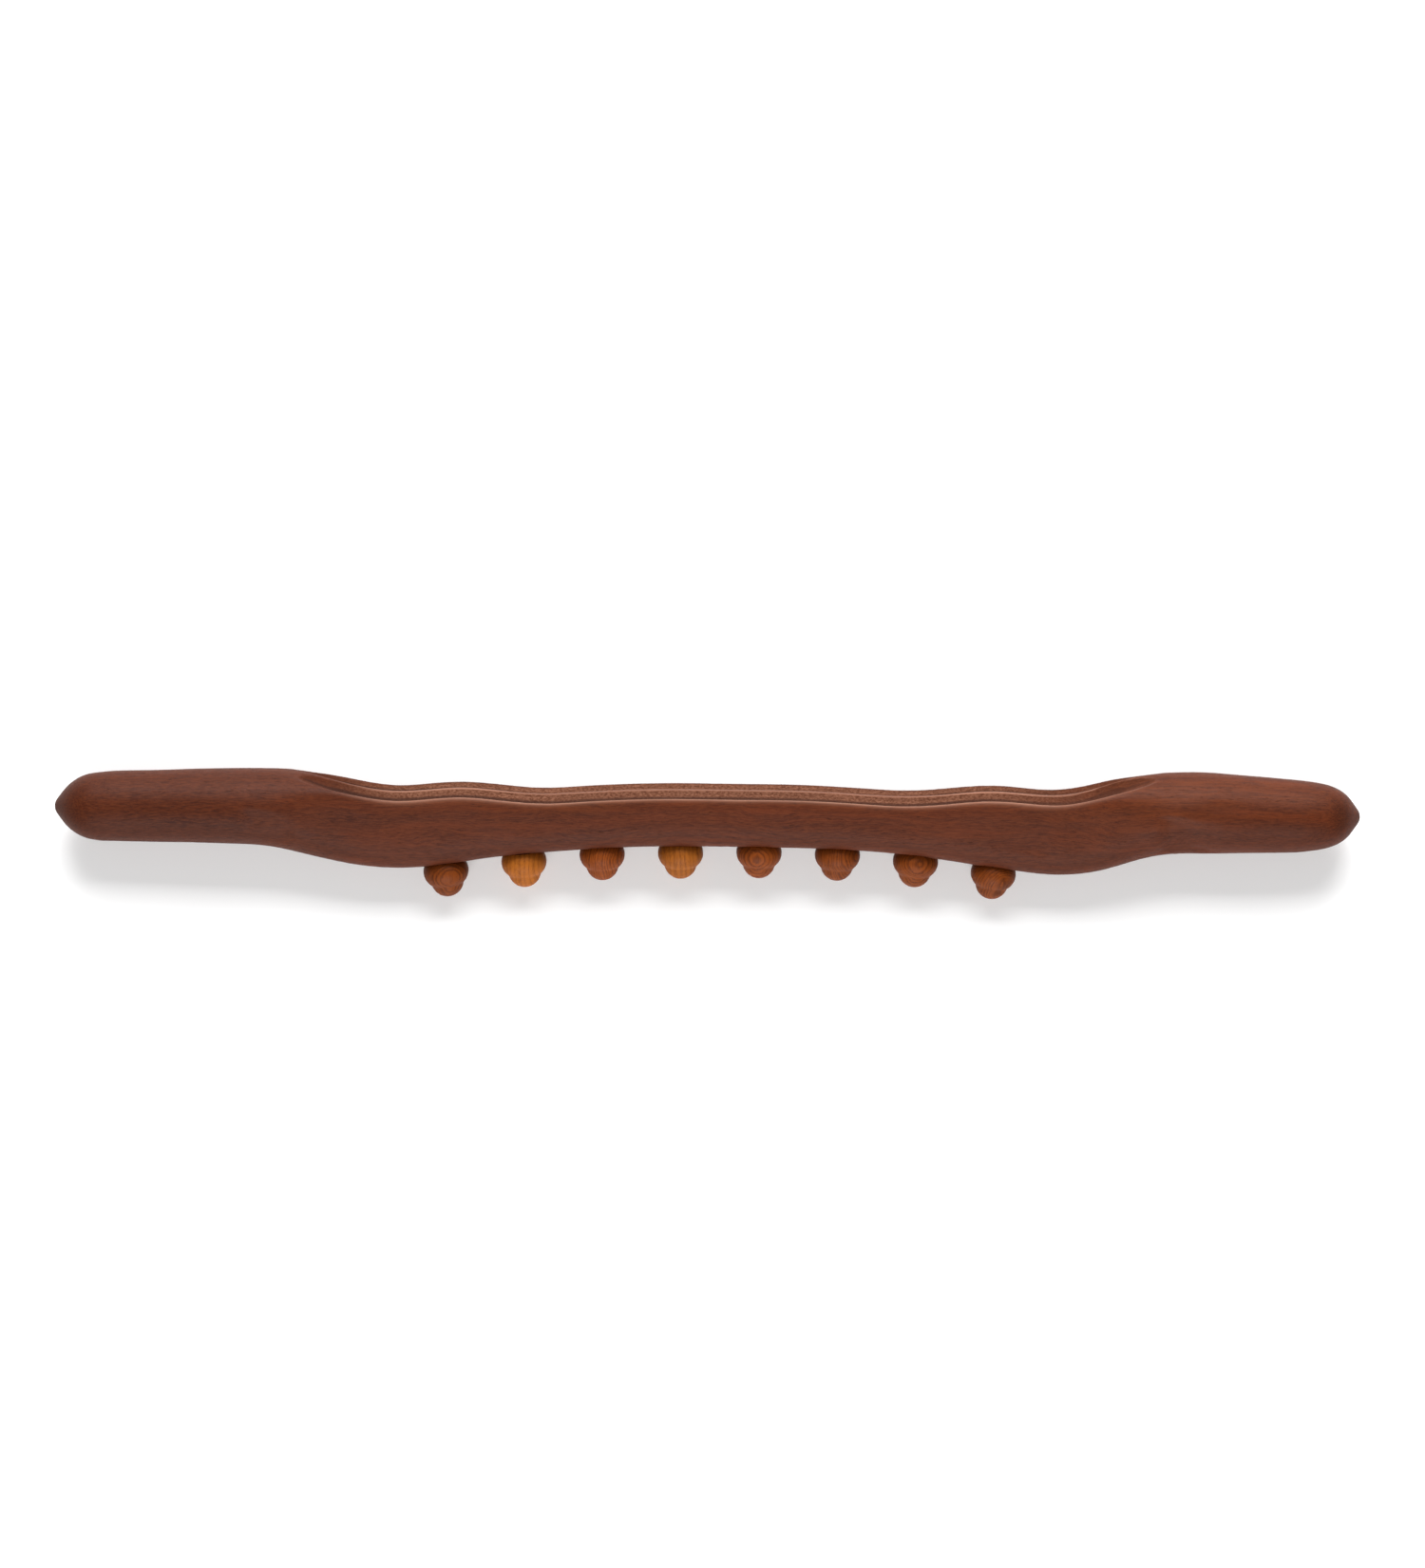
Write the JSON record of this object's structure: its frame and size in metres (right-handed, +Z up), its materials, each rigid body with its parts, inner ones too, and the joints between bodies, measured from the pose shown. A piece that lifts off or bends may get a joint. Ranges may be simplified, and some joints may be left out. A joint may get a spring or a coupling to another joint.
{
  "type": "massage stick",
  "caption": "Hand-held carved wooden massage stick: wavy grooved bar with two blunt round handles and a row of fixed turned beads pressed along the body.",
  "frame": {"origin": "on the table under the middle of the stick's bounding box, with the stick lying on its side as it rests: on both handles and on the end beads", "axes": "+X along the stick from the slimmer handle to the thicker one, +Y towards the grooved back (the beads point to -Y and dip a little), +Z up"},
  "size_m": [0.53, 0.053, 0.0328],
  "materials": {
    "stick_wood": "dark heat-treated wood, hand sanded, oiled to a low satin, fine lengthwise grain; the two milled grooves are left paler and rougher",
    "bead_wood_russet": "turned reddish brown wood with fine rings, waxed satin",
    "bead_wood_amber": "turned amber wood with straight grain along the bead, waxed satin"
  },
  "bodies": {
    "root": {"stick_body": "stick_wood", "bead_peg_1": "bead_wood_russet", "bead_peg_2": "bead_wood_amber", "bead_peg_3": "bead_wood_russet", "bead_peg_4": "bead_wood_amber", "bead_peg_5": "bead_wood_russet", "bead_peg_6": "bead_wood_russet", "bead_peg_7": "bead_wood_russet", "bead_peg_8": "bead_wood_russet"}
  },
  "joints": []
}
